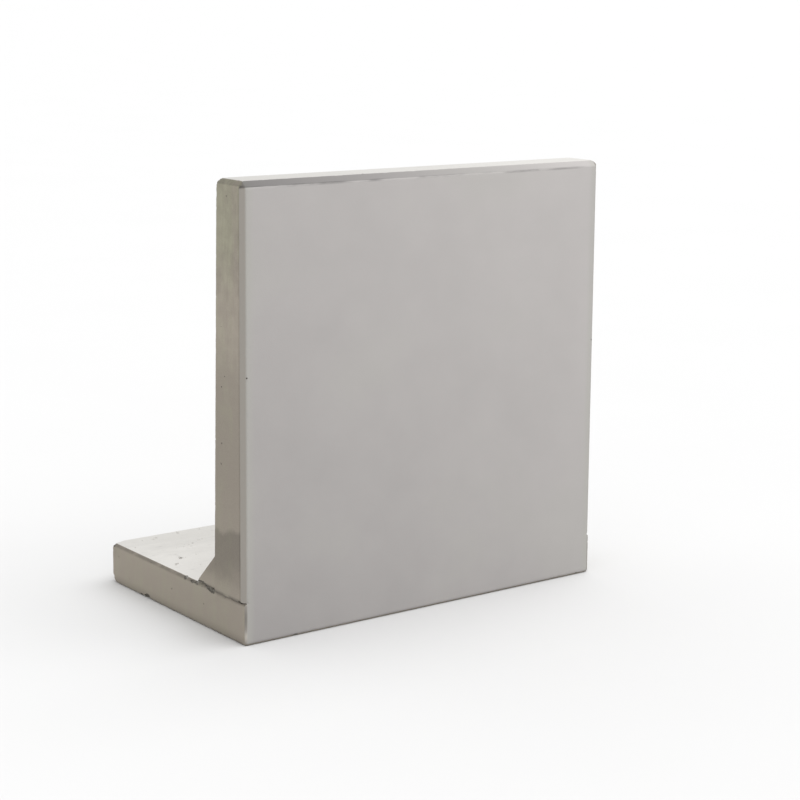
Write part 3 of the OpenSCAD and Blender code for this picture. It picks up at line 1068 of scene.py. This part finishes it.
def lay_bar(node, mesh, offset):
    """Sets a bar of a shared mesh in the place of a CAD node."""
    bar = new_object("ribbed_" + node, mesh)
    bar.location = offset
    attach(bar, "root")
    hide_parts(node)
    LAID_BARS.append(bar)


def lay_row(names, mesh):
    """Sets a bar in the place of each node, moved along X only."""
    for name in names:
        low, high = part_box(name)
        lay_bar(name, mesh, ((low.x + high.x) / 2, 0, 0))


def bar_mesh(name, line, diameter, across, sides):
    mesh = tube_mesh(name, ribbed_rings(line, diameter, across, sides))
    mesh.materials.append(STEEL)
    smooth(mesh, 50)
    return mesh


print("ribs every", RIB_EVERY, "diameters,", RIB_HEIGHT, "of the diameter high")

# %% [markdown]
# ## The main bars
#
# Seven bars stand in the back of the stem and turn into the top of the foot; seven more stand behind the
# smooth face and turn into the bottom of the foot. Both kinds are an L, so the box round the CAD node
# gives the thickness, both legs' lines and both ends.

# %% Lay the main bars
BEND_RADIUS = 28 * MM


def group(prefix):
    """The CAD nodes of a numbered group, in order."""
    names = [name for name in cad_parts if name.startswith(prefix) and name[len(prefix):].isdigit()]
    return sorted(names, key=lambda name: int(name[len(prefix):]))


for prefix in ("rear_bar_", "face_bar_"):
    names = group(prefix)
    low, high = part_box(names[0])
    thick = high.x - low.x
    upright_y, lying_z = low.y + thick / 2, low.z + thick / 2
    corners = [(0, upright_y, high.z), (0, upright_y, lying_z), (0, high.y, lying_z)]
    line = rounded_line(corners, BEND_RADIUS, RIB_EVERY * thick / RINGS_PER_RIB)
    mesh = bar_mesh(prefix + "shape", line, thick, (1, 0, 0), BENT_SIDES)
    lay_row(names, mesh)
    print(len(names), prefix, "with", len(mesh.polygons), "faces each")

# %% [markdown]
# ## Haunch bars, cross bars and anchor bars
#
# The straight bars need only two ends. A haunch bar slants across the inner corner, so its ends lie half
# a thickness inside the corners of its box. The cross bars and the anchor bars run along X.

# %% Lay the straight bars
names = group("haunch_bar_")
low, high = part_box(names[0])
thick = high.x - low.x
inset = thick / 2 * math.sin(math.radians(45))
slope = [(0, low.y + inset, high.z - inset), (0, high.y - inset, low.z + inset)]
line = rounded_line(slope, 0, RIB_EVERY * thick / RINGS_PER_RIB)
mesh = bar_mesh("haunch_bar_shape", line, thick, (1, 0, 0), STRAIGHT_SIDES)
lay_row(names, mesh)

CROSS_GROUPS = ["rear_cross_bar_", "face_cross_bar_", "foot_upper_cross_bar_", "foot_lower_cross_bar_"]
cross_names = [group(prefix) for prefix in CROSS_GROUPS] + [["left_anchor_bar", "right_anchor_bar"]]
for names in cross_names:
    low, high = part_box(names[0])
    thick = high.z - low.z
    length = high.x - low.x
    line = rounded_line([(-length / 2, 0, 0), (length / 2, 0, 0)], 0, RIB_EVERY * thick / RINGS_PER_RIB)
    mesh = bar_mesh(names[0] + "_shape", line, thick, (0, 0, 1), STRAIGHT_SIDES)
    for name in names:
        low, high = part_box(name)
        lay_bar(name, mesh, (low + high) / 2)
print(len(LAID_BARS), "ribbed bars in all")

# %% [markdown]
# ## Lifting sockets
#
# The sockets are the only metal that shows. Each is a zinc-plated tube with a coarse thread inside,
# closed at the bottom, with a cross hole at its tail for the anchor bar. One row of rings makes it all:
# along the outside, round the mouth and back in. In the bore, each point's radius follows the depth plus
# the angle round it, which makes a screw thread.

# %% Zinc plate
ZINC = (0.520, 0.525, 0.530)
ZINC_DULL = (0.330, 0.325, 0.300)


def zinc_plate():
    material, place = new_material("zinc_plate")
    spangle = cloud(place, 0.004, 2.0)
    dust = cloud(place, 0.012, 4.0)
    colour = blend(dust.rise(0.45, 0.70), ZINC, ZINC_DULL)
    return plug(material, colour, 0.35 + dust * 0.35, spangle, 0.05 * MM, metallic=0.85)


ZINC_PLATE = zinc_plate()

# %% Turn the sockets
THREAD_CORE = 7.0 * MM
THREAD_CREST = 8.0 * MM
THREAD_PITCH = 2.0 * MM
THREAD_LENGTH = 36 * MM
ANCHOR_LOW, ANCHOR_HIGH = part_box("left_anchor_bar")


def socket_rings(low, high):
    """Rings from the tail's middle, along the outside, over the mouth and down the threaded bore."""
    middle = (low + high) / 2
    outside = (high.x - low.x) / 2
    soft = 0.8 * MM
    rows = [(low.y, 1 * MM), (low.y, outside - soft), (low.y + soft, outside), (high.y - soft, outside),
            (high.y - 0.2 * MM, outside - soft / 2), (high.y, outside - soft), (high.y, THREAD_CREST + soft)]
    rings = [ring(middle, y, radius) for y, radius in rows]
    for depth in np.arange(0.5 * MM, THREAD_LENGTH - MM, THREAD_PITCH / 4):
        tooth = np.abs(((depth / THREAD_PITCH + AROUND / math.tau) % 1.0) - 0.5) * 2
        rings.append(ring(middle, high.y - depth, THREAD_CORE + (THREAD_CREST - THREAD_CORE) * tooth))
    for radius in (THREAD_CORE - 0.2 * MM, 1 * MM):
        rings.append(ring(middle, high.y - THREAD_LENGTH, radius))
    return np.array(rings)


def cross_hole(low, high):
    """A rod where the anchor bar passes, a little larger than the bar."""
    radius = (ANCHOR_HIGH.z - ANCHOR_LOW.z) / 2 + 0.4 * MM
    centre_y, centre_z = (ANCHOR_LOW.y + ANCHOR_HIGH.y) / 2, (low.z + high.z) / 2
    circle = [(centre_y + radius * math.cos(a), centre_z + radius * math.sin(a)) for a in AROUND]
    rows = [[(x, y, z) for y, z in circle] for x in (low.x - 5 * MM, high.x + 5 * MM)]
    return new_object("cross_hole", tube_mesh("cross_hole", np.array(rows)))


for name in SOCKETS:
    low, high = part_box(name)
    socket = new_object("threaded_" + name, tube_mesh("threaded_" + name, socket_rings(low, high)))
    socket.data.materials.append(ZINC_PLATE)
    fuse(socket, cross_hole(low, high), "DIFFERENCE", "MANIFOLD")
    smooth(socket.data, 35)
    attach(socket, "root")
    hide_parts(name)
    print(socket.name, "has", len(socket.data.polygons), "faces")

# %% [markdown]
# ## Spacers
#
# The clips that hold the cage off the mould have their right shape in the CAD model already, so those
# nodes stay. They are moulded plastic, slightly glossy, with flow marks and cement dust on them.

# %% Spacer plastic
PLASTIC = (0.045, 0.048, 0.052)
CEMENT_DUST = (0.240, 0.235, 0.220)


def spacer_plastic():
    material, place = new_material("dusty_spacer_plastic")
    flow = cloud(place, 0.006, 2.0, (1.0, 3.0, 1.0))
    dust = cloud(place, 0.010, 4.0, shift=4.0).rise(0.52, 0.75)
    return plug(material, blend(dust, PLASTIC, CEMENT_DUST), 0.42 + dust * 0.45, flow, 0.08 * MM)


SPACER = spacer_plastic()
for name in ("face_spacers", "foot_spacers"):
    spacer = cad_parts[name]
    for place in spacer.material_slots:
        place.link = "OBJECT"
        place.material = SPACER
print("the spacers keep their CAD shape")

# %% [markdown]
# ## The floor
#
# The floor is a wide disc with the finish of a painted studio floor: pale, matt, with the faintest
# unevenness. It isn't part of the object.

# %% Lay the floor
def floor_paint():
    material, place = new_material("floor_paint")
    worn = cloud(place, 0.8, 2.0)
    darker, paler = (FLOOR_GREY * 0.99,) * 3, (FLOOR_GREY * 1.01,) * 3
    return plug(material, blend(worn, darker, paler), 0.85 + worn * 0.05)


disc = bmesh.new()
bmesh.ops.create_circle(disc, cap_ends=True, segments=96, radius=FLOOR_RADIUS)
floor = as_object("studio_floor", disc)
if floor.data.polygons[0].normal.z < 0:
    floor.data.flip_normals()
floor.data.materials.append(floor_paint())
print("floor radius", FLOOR_RADIUS, "m")
